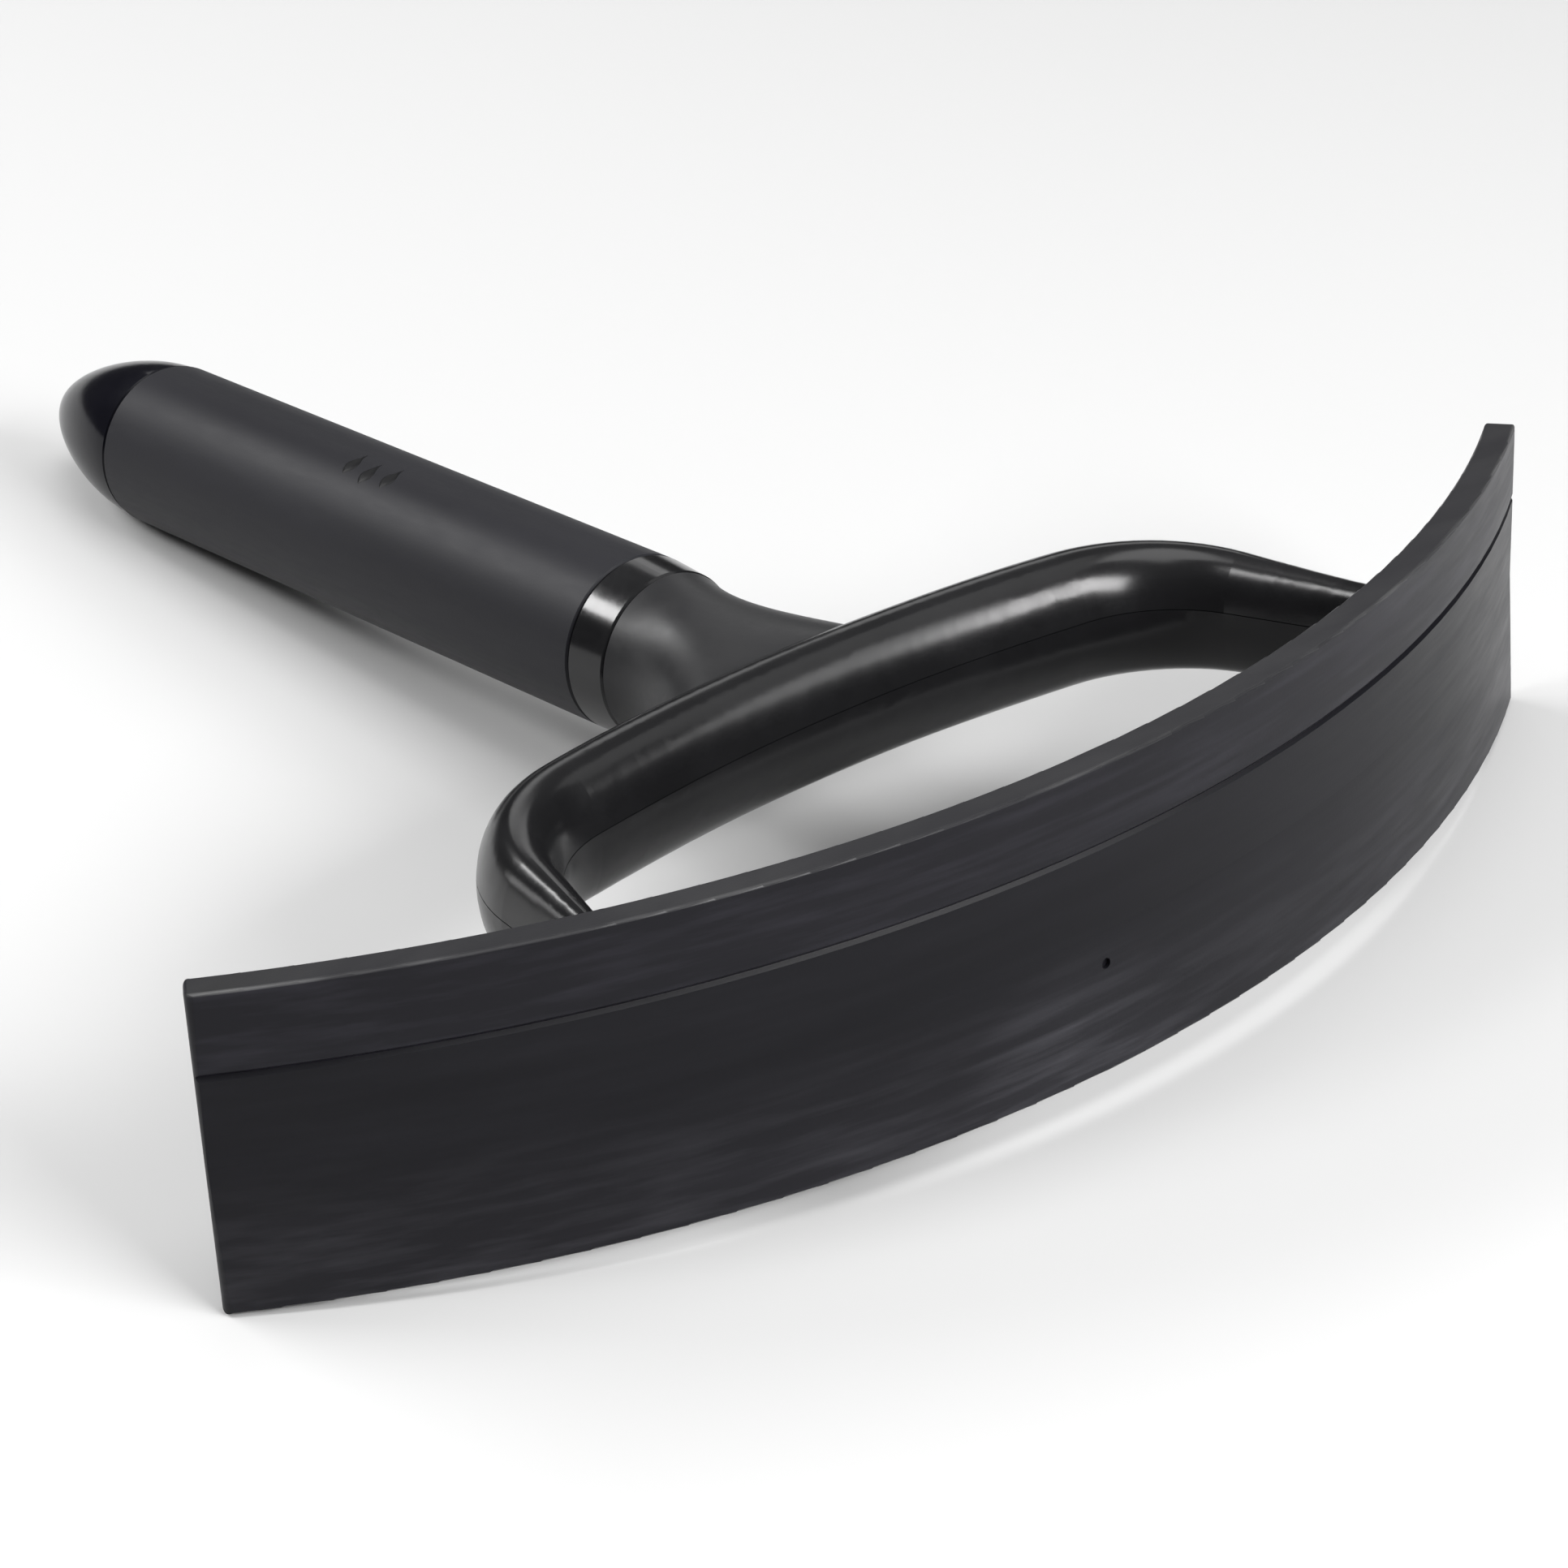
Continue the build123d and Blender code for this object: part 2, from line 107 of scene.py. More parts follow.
class NodeBench:
    """A material's node tree, with short ways to add and join nodes."""

    def __init__(self, name: str, axes: ToolAxes) -> None:
        """Start a material with one Principled shader.

        Args:
            name: Name of the material.
            axes: The tool's axes, used by patterns that follow the tool.
        """
        self.axes = axes
        self.material = bpy.data.materials.new(name)
        self.material.use_nodes = True
        self.tree = self.material.node_tree
        self.shader = self.tree.nodes["Principled BSDF"]

    def add(self, kind: str, **settings: object) -> bpy.types.Node:
        """Add a node.

        Args:
            kind: Blender's node type.
            **settings: Properties of the node.

        Returns:
            The new node.
        """
        node = self.tree.nodes.new(kind)
        for key, value in settings.items():
            setattr(node, key, value)
        return node

    def join(self, source: bpy.types.NodeSocket, target: bpy.types.NodeSocket) -> None:
        """Link one socket to another."""
        self.tree.links.new(source, target)

    def sum(self, operation: str, *terms: object) -> bpy.types.NodeSocket:
        """Do sums on sockets or plain numbers.

        Args:
            operation: Blender's name for the sum.
            *terms: Sockets or numbers, in order.

        Returns:
            The socket that holds the result.
        """
        node = self.add("ShaderNodeMath", operation=operation)
        for slot, term in zip(node.inputs, terms):
            if isinstance(term, bpy.types.NodeSocket):
                self.join(term, slot)
            else:
                slot.default_value = term
        return node.outputs[0]

    def square(self, value: bpy.types.NodeSocket) -> bpy.types.NodeSocket:
        """Give the square of a value."""
        return self.sum("MULTIPLY", value, value)

    def tool_point(self) -> bpy.types.NodeSocket:
        """Give the surface point in the tool's axes, in metres."""
        place = self.add("ShaderNodeTexCoord")
        turn = self.add("ShaderNodeMapping", vector_type="TEXTURE")
        turn.inputs["Location"].default_value = self.axes.origin
        turn.inputs["Rotation"].default_value = (0.0, -self.axes.lean, 0.0)
        self.join(place.outputs["Object"], turn.inputs["Vector"])
        return turn.outputs["Vector"]

    def flow_point(self, lay: Lay, blade_radius: float, stretch: float) -> bpy.types.NodeSocket:
        """Give the point that patterns are laid out on.

        Args:
            lay: The way the pattern runs.
            blade_radius: Radius of the blade's arc, in metres.
            stretch: How many times longer than wide the pattern is.

        Returns:
            A vector socket, in metres, squeezed along the pattern's run.
        """
        point = self.tool_point()
        if lay is Lay.EVEN:
            return point
        parts = self.add("ShaderNodeSeparateXYZ")
        self.join(point, parts.inputs[0])
        if lay is Lay.ALONG_GRIP:
            angle = self.sum("ARCTAN2", parts.outputs["Y"], parts.outputs["Z"])
            around = self.sum("MULTIPLY", angle, GRIP_RADIUS)
            along = self.sum("DIVIDE", parts.outputs["X"], stretch)
            across = parts.outputs["Z"]
        else:
            from_centre = self.sum("ADD", parts.outputs["X"], blade_radius)
            angle = self.sum("ARCTAN2", parts.outputs["Y"], from_centre)
            along = self.sum("MULTIPLY", angle, blade_radius / stretch)
            around = parts.outputs["Z"]
            across = self.sum("MULTIPLY", from_centre, BLADE_DEPTH_SHARE)
        whole = self.add("ShaderNodeCombineXYZ")
        self.join(along, whole.inputs[0])
        self.join(around, whole.inputs[1])
        self.join(across, whole.inputs[2])
        return whole.outputs[0]

    def noise(
        self, point: bpy.types.NodeSocket, size: float, detail: float
    ) -> bpy.types.NodeSocket:
        """Add a noise pattern.

        Args:
            point: Vector socket that the pattern is laid out on.
            size: Size of one patch, in metres.
            detail: How many finer layers the pattern has.

        Returns:
            The noise value, from 0 to 1.
        """
        node = self.add("ShaderNodeTexNoise")
        node.inputs["Scale"].default_value = 1.0 / size
        node.inputs["Detail"].default_value = detail
        node.inputs["Roughness"].default_value = NOISE_ROUGHNESS
        self.join(point, node.inputs["Vector"])
        return node.outputs[0]

    def stretch_range(
        self,
        source: bpy.types.NodeSocket,
        low: float,
        high: float,
        new_low: float = 0.0,
        new_high: float = 1.0,
    ) -> bpy.types.NodeSocket:
        """Map a value from one range to another, held at the ends.

        Args:
            source: The value.
            low: The value that gives new_low.
            high: The value that gives new_high.
            new_low: Result at low.
            new_high: Result at high.

        Returns:
            The mapped value.
        """
        node = self.add("ShaderNodeMapRange")
        ends = {"From Min": low, "From Max": high, "To Min": new_low, "To Max": new_high}
        for key, value in ends.items():
            node.inputs[key].default_value = value
        self.join(source, node.inputs["Value"])
        return node.outputs["Result"]

    def blend_colours(
        self,
        share: bpy.types.NodeSocket,
        first: tuple[float, ...] | bpy.types.NodeSocket,
        second: tuple[float, ...],
    ) -> bpy.types.NodeSocket:
        """Mix two colours.

        Args:
            share: How much of the second colour shows, from 0 to 1.
            first: A colour or a colour socket.
            second: A colour.

        Returns:
            The mixed colour.
        """
        node = self.add("ShaderNodeMix", data_type="RGBA")
        self.join(share, node.inputs[MIX_SHARE])
        if isinstance(first, bpy.types.NodeSocket):
            self.join(first, node.inputs[MIX_FIRST])
        else:
            node.inputs[MIX_FIRST].default_value = (*first, 1.0)
        node.inputs[MIX_SECOND].default_value = (*second, 1.0)
        return node.outputs[MIX_RESULT]

    def bump(
        self, height: bpy.types.NodeSocket, depth: float, under: bpy.types.NodeSocket | None = None
    ) -> bpy.types.NodeSocket:
        """Add a relief.

        Args:
            height: Height pattern, from 0 to 1.
            depth: Height of the relief, in metres.
            under: A relief that this one lies on.

        Returns:
            The normal with the relief on it.
        """
        node = self.add("ShaderNodeBump")
        node.inputs["Strength"].default_value = 1.0
        node.inputs["Distance"].default_value = depth
        self.join(height, node.inputs["Height"])
        if under is not None:
            self.join(under, node.inputs["Normal"])
        return node.outputs["Normal"]


@dataclass(frozen=True)
class MouldedFinish:
    """A moulded plastic or rubber surface.

    Attributes:
        name: Name of the finish.
        colour: Darker base colour.
        worn_colour: Lighter colour of rubbed or dusty patches.
        roughness: Middle roughness.
        roughness_spread: How far the roughness strays from its middle.
        specular: Specular level of the shader.
        patch_size: Size of the rubbed patches, in metres.
        grain_size: Size of the mould's fine texture, in metres.
        grain_depth: Depth of the fine texture, in metres.
        ripple_size: Size of the slow waves in the surface, in metres.
        ripple_depth: Depth of the slow waves, in metres.
        scuff_size: Width of the fine scuffs, in metres.
        scuff_depth: Depth of the fine scuffs, in metres.
        lay: The way scuffs and patches run.
        stretch: How many times longer than wide the scuffs are.
        wear_start: Pattern value where the rubbed patches start.
        wear_end: Pattern value where the rubbed patches are full.
        patch_share: Share of the patches in the roughness pattern, the rest is scuffs.
        pattern_low: Pattern value that gives the lowest roughness.
        pattern_high: Pattern value that gives the highest roughness.
    """

    name: str
    colour: tuple[float, float, float]
    worn_colour: tuple[float, float, float]
    roughness: float
    roughness_spread: float
    specular: float = 0.5
    patch_size: float = 0.03
    grain_size: float = 0.0004
    grain_depth: float = 0.000004
    ripple_size: float = 0.02
    ripple_depth: float = 0.00002
    scuff_size: float = 0.0012
    scuff_depth: float = 0.000003
    lay: Lay = Lay.EVEN
    stretch: float = 1.0
    wear_start: float = 0.42
    wear_end: float = 0.72
    patch_share: float = 0.6
    pattern_low: float = 0.35
    pattern_high: float = 0.65

    def bench(self, axes: ToolAxes, blade_radius: float) -> NodeBench:
        """Build the node tree.

        Args:
            axes: The tool's axes.
            blade_radius: Radius of the blade's arc, in metres.

        Returns:
            The bench that holds the finished material.
        """
        bench = NodeBench(self.name, axes)
        plain = bench.tool_point()
        flow = bench.flow_point(self.lay, blade_radius, self.stretch)
        patches = bench.noise(flow, self.patch_size, detail=6.0)
        scuffs = bench.noise(flow, self.scuff_size, detail=5.0)
        grain = bench.noise(plain, self.grain_size, detail=2.0)
        ripple = bench.noise(plain, self.ripple_size, detail=1.0)
        rubbed = bench.stretch_range(patches, self.wear_start, self.wear_end)
        wear = bench.sum("MULTIPLY", rubbed, scuffs)
        colour = bench.blend_colours(wear, self.colour, self.worn_colour)
        bench.join(colour, bench.shader.inputs["Base Color"])
        broad = bench.sum("MULTIPLY", patches, self.patch_share)
        fine = bench.sum("MULTIPLY", scuffs, 1.0 - self.patch_share)
        blend = bench.sum("ADD", broad, fine)
        low = self.roughness - self.roughness_spread
        high = self.roughness + self.roughness_spread
        rough = bench.stretch_range(blend, self.pattern_low, self.pattern_high, low, high)
        bench.join(rough, bench.shader.inputs["Roughness"])
        relief = bench.bump(ripple, self.ripple_depth)
        relief = bench.bump(scuffs, self.scuff_depth, relief)
        relief = bench.bump(grain, self.grain_depth, relief)
        bench.join(relief, bench.shader.inputs["Normal"])
        bench.shader.inputs["Specular IOR Level"].default_value = self.specular
        return bench

    def material(self, axes: ToolAxes, blade_radius: float) -> bpy.types.Material:
        """Build the material and return it."""
        return self.bench(axes, blade_radius).material


@dataclass(frozen=True)
class BladeRubber(MouldedFinish):
    """Satin rubber with light painted into its colour: a painted reflection with a painted pool of
    light on its lip, and painted highlights on its top edge and rim; it is also paler above the
    groove.

    Attributes:
        lip_start: Height in the tool's axes where the paler lower band starts, in metres.
        lip_end: Height of the lip's free edge, in metres.
        lip_reflection_colour: Lighter colour painted on the lower band as a reflection, broken up
            by the streaks.
        lip_share: How much of the lip's painted reflection shows away from the painted pool of
            light.
        light_patch_angle: Place of the painted pool of light on the lip along the arc, in radians.
        light_patch_width: Half width of the painted pool of light along the arc, in radians.
        light_patch_share: How much more of the lip's painted reflection shows in the middle of the
            painted pool of light.
        streak_size: Width of the streaks, in metres.
        streak_start: Pattern value where the streaks start.
        streak_full: Pattern value where the streaks are full.
        streak_floor: Least strength of the streaks, from 0 to 1.
        groove_height: Height of the groove above the tool's middle plane, in metres.
        groove_blur: Half width of the blend at the groove, in metres.
        upper_colour: Colour of the band above the groove.
        top_height: Height of the blade's top edge above the middle plane, in metres.
        top_blur: Depths below the top where its colour starts and is full, in metres.
        top_highlight_colour: Lighter colour painted on the top edge as a highlight.
        rim_drop: Depths below the top where the rim starts and is full, in metres.
        rim_inset: Depths behind the outer face where the rim starts and is full, in metres.
        rim_highlight_colour: Pale colour painted on the rim between the top edge and the face as a
            highlight.
    """

    lip_start: float = -0.0125
    lip_end: float = -0.036
    lip_reflection_colour: tuple[float, float, float] = (0.06, 0.059, 0.068)
    lip_share: float = 0.35
    light_patch_angle: float = -0.045
    light_patch_width: float = 0.09
    light_patch_share: float = 0.5
    streak_size: float = 0.0022
    streak_start: float = 0.45
    streak_full: float = 0.75
    streak_floor: float = 0.25
    groove_height: float = 0.0018
    groove_blur: float = 0.0001
    upper_colour: tuple[float, float, float] = (0.014, 0.0135, 0.018)
    top_height: float = 0.015
    top_blur: tuple[float, float] = (0.00012, 0.00002)
    top_highlight_colour: tuple[float, float, float] = (0.012, 0.012, 0.0125)
    rim_drop: tuple[float, float] = (0.0005, 0.0002)
    rim_inset: tuple[float, float] = (0.0006, 0.0003)
    rim_highlight_colour: tuple[float, float, float] = (0.08, 0.08, 0.08)

    def material(self, axes: ToolAxes, blade_radius: float) -> bpy.types.Material:
        """Build the moulded finish and lay the painted light and the paler band above the groove
        over it.

        Args:
            axes: The tool's axes.
            blade_radius: Radius of the blade's arc, in metres.

        Returns:
            The finished material.
        """
        bench = self.bench(axes, blade_radius)
        under = bench.shader.inputs["Base Color"].links[0].from_socket
        parts = bench.add("ShaderNodeSeparateXYZ")
        bench.join(bench.tool_point(), parts.inputs[0])
        height = parts.outputs["Z"]
        from_centre = bench.sum("ADD", parts.outputs["X"], blade_radius)
        angle = bench.sum("ARCTAN2", parts.outputs["Y"], from_centre)
        # Painted pool of light: the lip's lighter colour is painted stronger near one place along
        # the arc.
        away = bench.sum("ABSOLUTE", bench.sum("SUBTRACT", angle, self.light_patch_angle))
        light_patch = bench.stretch_range(away, 0.0, self.light_patch_width, self.light_patch_share, 0.0)
        # Painted reflection: the lower band gets a lighter colour, broken up by the streaks.
        low_down = bench.stretch_range(height, self.lip_start, self.lip_end)
        flow = bench.flow_point(Lay.ALONG_BLADE, blade_radius, self.stretch)
        pattern = bench.noise(flow, self.streak_size, detail=4.0)
        streaks = bench.stretch_range(
            pattern, self.streak_start, self.streak_full, self.streak_floor
        )
        lip = bench.sum("MULTIPLY", low_down, streaks)
        amount = bench.sum("MULTIPLY", bench.sum("ADD", light_patch, self.lip_share), lip)
        shade = bench.blend_colours(amount, under, self.lip_reflection_colour)
        band = (self.groove_height - self.groove_blur, self.groove_height + self.groove_blur)
        upper = bench.stretch_range(height, *band)
        shade = bench.blend_colours(bench.sum("MULTIPLY", upper, streaks), shade, self.upper_colour)
        # Painted highlight: the top edge gets a lighter colour, broken up by the streaks.
        top = bench.stretch_range(height, *(self.top_height - depth for depth in self.top_blur))
        shade = bench.blend_colours(bench.sum("MULTIPLY", top, streaks), shade, self.top_highlight_colour)
        # Painted highlight: the rim between the top edge and the outer face gets a pale colour,
        # broken up by the streaks.
        squares = bench.sum("ADD", bench.square(from_centre), bench.square(parts.outputs["Y"]))
        reach = bench.sum("SQRT", squares)
        outside = bench.stretch_range(reach, *(blade_radius - depth for depth in self.rim_inset))
        rim = bench.stretch_range(height, *(self.top_height - depth for depth in self.rim_drop))
        painted_rim = bench.sum("MULTIPLY", bench.sum("MULTIPLY", outside, rim), streaks)
        shade = bench.blend_colours(painted_rim, shade, self.rim_highlight_colour)
        bench.join(shade, bench.shader.inputs["Base Color"])
        return bench.material


@dataclass(frozen=True)
class SteelFinish:
    """Plated steel for the fasteners.

    Attributes:
        name: Name of the finish.
        colour: Colour of the metal.
        roughness: Middle roughness.
        roughness_drop: How far the roughness falls where the metal is clean.
        roughness_rise: How far the roughness rises where the metal is dull.
        dull_share: Brightness of the dull patches, as a share of the colour.
        tarnish_size: Size of the dull patches, in metres.
        dull_start: Pattern value where the colour starts to turn dull.
        dull_full: Pattern value where the colour is fully dull.
        pattern_low: Pattern value that gives the lowest roughness.
        pattern_high: Pattern value that gives the highest roughness.
        scratch_size: Width of the fine scratches, in metres.
        scratch_depth: Depth of the fine scratches, in metres.
        scratch_stretch: How many times longer than wide the scratches are.
    """

    name: str = "plated_steel"
    colour: tuple[float, float, float] = (0.52, 0.53, 0.55)
    roughness: float = 0.34
    roughness_drop: float = 0.08
    roughness_rise: float = 0.1
    dull_share: float = 0.7
    tarnish_size: float = 0.003
    dull_start: float = 0.4
    dull_full: float = 0.7
    pattern_low: float = 0.3
    pattern_high: float = 0.7
    scratch_size: float = 0.0004
    scratch_depth: float = 0.000004
    scratch_stretch: float = 12.0

    def material(self, axes: ToolAxes, blade_radius: float) -> bpy.types.Material:
        """Build the material.

        Args:
            axes: The tool's axes.
            blade_radius: Radius of the blade's arc, in metres.

        Returns:
            The finished material.
        """
        bench = NodeBench(self.name, axes)
        plain = bench.tool_point()
        tarnish = bench.noise(plain, self.tarnish_size, detail=5.0)
        flow = bench.flow_point(Lay.ALONG_GRIP, blade_radius, self.scratch_stretch)
        scratches = bench.noise(flow, self.scratch_size, detail=3.0)
        dull = bench.stretch_range(tarnish, self.dull_start, self.dull_full)
        dull_colour = tuple(self.dull_share * part for part in self.colour)
        shade = bench.blend_colours(dull, self.colour, dull_colour)
        bench.join(shade, bench.shader.inputs["Base Color"])
        low = self.roughness - self.roughness_drop
        high = self.roughness + self.roughness_rise
        rough = bench.stretch_range(tarnish, self.pattern_low, self.pattern_high, low, high)
        bench.join(rough, bench.shader.inputs["Roughness"])
        relief = bench.bump(scratches, self.scratch_depth)
        bench.join(relief, bench.shader.inputs["Normal"])
        bench.shader.inputs["Metallic"].default_value = 1.0
        return bench.material


@dataclass
class SubAssembly:
    """Pieces that are dressed together.

    Attributes:
        axes: The tool's axes.
        blade_radius: Radius of the blade's arc, in metres.
    """

    axes: ToolAxes
    blade_radius: float = BLADE_RADIUS

    def dress(self, node: str, finish: MouldedFinish | SteelFinish) -> None:
        """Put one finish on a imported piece.

        Args:
            node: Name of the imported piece.
            finish: The finish it gets.
        """
        mesh = frame["nodes"][node].data
        mesh.materials.clear()
        mesh.materials.append(finish.material(self.axes, self.blade_radius))
        log.info("%s dressed in %s", node, finish.name)


@dataclass
class Blade(SubAssembly):
    """The curved rubber blade."""

    rubber: BladeRubber = BladeRubber(
        name="blade_rubber",
        colour=(0.003, 0.0029, 0.0045),
        worn_colour=(0.008, 0.0078, 0.0105),
        roughness=0.37,
        roughness_spread=0.05,
        specular=0.17,
        patch_size=0.006,
        grain_size=0.0005,
        grain_depth=0.000006,
        ripple_size=0.035,
        ripple_depth=0.00008,
        scuff_size=0.0012,
        scuff_depth=0.000008,
        lay=Lay.ALONG_BLADE,
        stretch=14.0,
    )

    def build(self) -> None:
        """Dress the blade."""
        self.dress("scraper_blade", self.rubber)


@dataclass
class LoopFrame(SubAssembly):
    """The two glossy shells of the loop and the screws that close them."""

    gloss: MouldedFinish = MouldedFinish(
        name="loop_gloss",
        colour=(0.006, 0.006, 0.0065),
        worn_colour=(0.012, 0.012, 0.013),
        roughness=0.21,
        roughness_spread=0.03,
        specular=0.33,
        patch_size=0.02,
        grain_size=0.0009,
        grain_depth=0.0000015,
        ripple_size=0.012,
        ripple_depth=0.00002,
        scuff_size=0.0006,
        scuff_depth=0.0000015,
    )
    steel: SteelFinish = SteelFinish()

    def build(self) -> None:
        """Dress both shells and the screws."""
        self.dress("loop_upper_shell", self.gloss)
        self.dress("loop_lower_shell", self.gloss)
        self.dress("shell_screws", self.steel)


@dataclass
class NeckAndRing(SubAssembly):
    """The satin neck and the glossy ring between it and the grip."""

    satin: MouldedFinish = MouldedFinish(
        name="neck_satin",
        colour=(0.012, 0.012, 0.013),
        worn_colour=(0.02, 0.02, 0.021),
        roughness=0.4,
        roughness_spread=0.05,
        specular=0.28,
        patch_size=0.012,
        grain_size=0.0006,
        grain_depth=0.000004,
        ripple_size=0.016,
        ripple_depth=0.00006,
    )
    gloss: MouldedFinish = MouldedFinish(
        name="ring_gloss",
        colour=(0.006, 0.006, 0.0065),
        worn_colour=(0.011, 0.011, 0.012),
        roughness=0.15,
        roughness_spread=0.03,
        specular=0.36,
        patch_size=0.006,
        ripple_size=0.008,
        ripple_depth=0.000008,
        grain_depth=0.000001,
    )

    def build(self) -> None:
        """Dress the neck and the ring."""
        self.dress("neck", self.satin)
        self.dress("collar_ring", self.gloss)


@dataclass
class Grip(SubAssembly):
    """The soft sleeve, its core, the domed cap, the bolt that ties them and the small raised mark.

    Attributes:
        grip_radius: Outer radius of the sleeve, in metres.
        mark_depth: Place of the mark's middle behind the blade, in metres.
        mark_turn: How far round the sleeve from its top the mark sits, in radians.
        drop_length: Length of one drop of the mark, in metres.
        drop_gap: Distance between the drops' middles, in metres.
        drop_offset: How far the middle drop sits round the sleeve from the others, in metres.
        drop_fullness: Width of one drop as a share of its length.
        drop_taper: How sharply a drop narrows to its point.
        drop_centre: Place of a drop's middle along its length, from 0 to 1.
        drop_relief: Height of the drops, in metres.
        drop_rim_sink: How far the rim of a drop sinks into the sleeve, in metres.
        drop_lift: Height above the sleeve where a drop's dome starts, in metres.
        drop_outline_points: Points round one drop.
        drop_rings: Rings from one drop's rim to its middle.
        weld_distance: Points nearer than this are joined, in metres.
    """

    grip_radius: float = GRIP_RADIUS
    mark_depth: float = 0.1765
    mark_turn: float = -0.3
    drop_length: float = 0.0062
    drop_gap: float = 0.0052
    drop_offset: float = -0.0008
    drop_fullness: float = 0.62
    drop_taper: float = 1.2
    drop_centre: float = 0.6
    drop_relief: float = 0.00018
    drop_rim_sink: float = 0.00005
    drop_lift: float = 0.00002
    drop_outline_points: int = 48
    drop_rings: int = 6
    weld_distance: float = 0.000002
    soft_touch: MouldedFinish = MouldedFinish(
        name="sleeve_soft_touch",
        colour=(0.008, 0.008, 0.0105),
        worn_colour=(0.013, 0.013, 0.0165),
        roughness=0.5,
        roughness_spread=0.04,
        specular=0.22,
        patch_size=0.012,
        grain_size=0.00045,
        grain_depth=0.000012,
        ripple_size=0.02,
        ripple_depth=0.00002,
        scuff_size=0.0015,
        scuff_depth=0.000004,
        lay=Lay.ALONG_GRIP,
        stretch=4.0,
    )
    cap_gloss: MouldedFinish = MouldedFinish(
        name="cap_gloss",
        colour=(0.004, 0.004, 0.006),
        worn_colour=(0.007, 0.007, 0.01),
        roughness=0.15,
        roughness_spread=0.03,
        specular=0.12,
        patch_size=0.008,
        ripple_size=0.01,
        ripple_depth=0.00001,
        grain_depth=0.000001,
    )
    mark_satin: MouldedFinish = MouldedFinish(
        name="mark_satin",
        colour=(0.003, 0.003, 0.0035),
        worn_colour=(0.006, 0.006, 0.007),
        roughness=0.44,
        roughness_spread=0.04,
        specular=0.18,
        patch_size=0.003,
        ripple_depth=0.000002,
    )
    core: MouldedFinish = MouldedFinish(
        name="core_nylon",
        colour=(0.02, 0.02, 0.021),
        worn_colour=(0.03, 0.03, 0.031),
        roughness=0.5,
        roughness_spread=0.06,
        patch_size=0.01,
        lay=Lay.ALONG_GRIP,
        stretch=3.0,
    )
    steel: SteelFinish = SteelFinish()

    def drop_half_width(self, share: float) -> float:
        """Half width of a drop.

        Args:
            share: Place along the drop, 0 at its point and 1 at its round end.

        Returns:
            Half width in metres.
        """
        turn = math.pi * share
        widest = 0.5 * self.drop_length * self.drop_fullness
        return widest * math.sin(turn) * math.sin(turn / 2) ** self.drop_taper

    def sleeve_point(self, along: float, around: float, height: float) -> Vector:
        """Place a point on the sleeve.

        Args:
            along: Distance from the mark's middle towards the blade, in metres.
            around: Distance round the sleeve from the mark's middle, in metres.
            height: Height above the sleeve, in metres.

        Returns:
            The point in the part's frame.
        """
        turn = self.mark_turn + around / self.grip_radius
        radius = self.grip_radius + height
        across, up = radius * math.sin(turn), radius * math.cos(turn)
        return self.axes.place((along - self.mark_depth, across, up))

    def raise_drop(self, mesh: bmesh.types.BMesh, middle: float, shift: float) -> None:
        """Add one domed drop to the mark.

        Args:
            mesh: The mesh that the mark is built in.
            middle: Place of the drop along the grip, in metres.
            shift: Place of the drop round the grip, in metres.
        """
        rings = []
        count = self.drop_outline_points
        for ring in range(self.drop_rings + 1):
            size = 1.0 - ring / (self.drop_rings + 1)
            base = self.drop_lift if ring else -self.drop_rim_sink
            height = self.drop_relief * (1.0 - size**4) + base
            loop = []
            for step in range(count):
                share = 2.0 * step / count
                side = 1.0 if share <= 1.0 else -1.0
                place = share if share <= 1.0 else 2.0 - share
                eased = 0.5 - 0.5 * math.cos(math.pi * place)
                along = (eased - self.drop_centre) * self.drop_length
                across = side * self.drop_half_width(eased)
                point = self.sleeve_point(middle + across * size, shift - along * size, height)
                loop.append(mesh.verts.new(point))
            rings.append(loop)
        for outer, inner in zip(rings, rings[1:]):
            for step in range(count):
                after = (step + 1) % count
                mesh.faces.new((outer[step], outer[after], inner[after], inner[step]))
        top = mesh.verts.new(self.sleeve_point(middle, shift, self.drop_relief + self.drop_lift))
        for step in range(count):
            mesh.faces.new((rings[-1][step], rings[-1][(step + 1) % count], top))

    def build_mark(self) -> None:
        """Raise three plain water drops on the sleeve."""
        mesh = bmesh.new()
        for place, shift in ((-1, 0.0), (0, self.drop_offset), (1, 0.0)):
            self.raise_drop(mesh, place * self.drop_gap, shift)
        bmesh.ops.remove_doubles(mesh, verts=mesh.verts, dist=self.weld_distance)
        bmesh.ops.recalc_face_normals(mesh, faces=mesh.faces)
        data = bpy.data.meshes.new("sleeve_mark")
        mesh.to_mesh(data)
        mesh.free()
        for face in data.polygons:
            face.use_smooth = True
        data.materials.append(self.mark_satin.material(self.axes, self.blade_radius))
        piece = bpy.data.objects.new("sleeve_mark", data)
        bpy.context.collection.objects.link(piece)
        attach(piece, "root")
        log.info("%s built with %d faces", piece.name, len(data.polygons))

    def build(self) -> None:
        """Dress the grip's pieces and raise the mark."""
        self.dress("grip_sleeve", self.soft_touch)
        self.dress("end_cap", self.cap_gloss)
        self.dress("grip_core", self.core)
        for node in ("tie_bolt", "bolt_washer", "tie_nut"):
            self.dress(node, self.steel)
        self.build_mark()


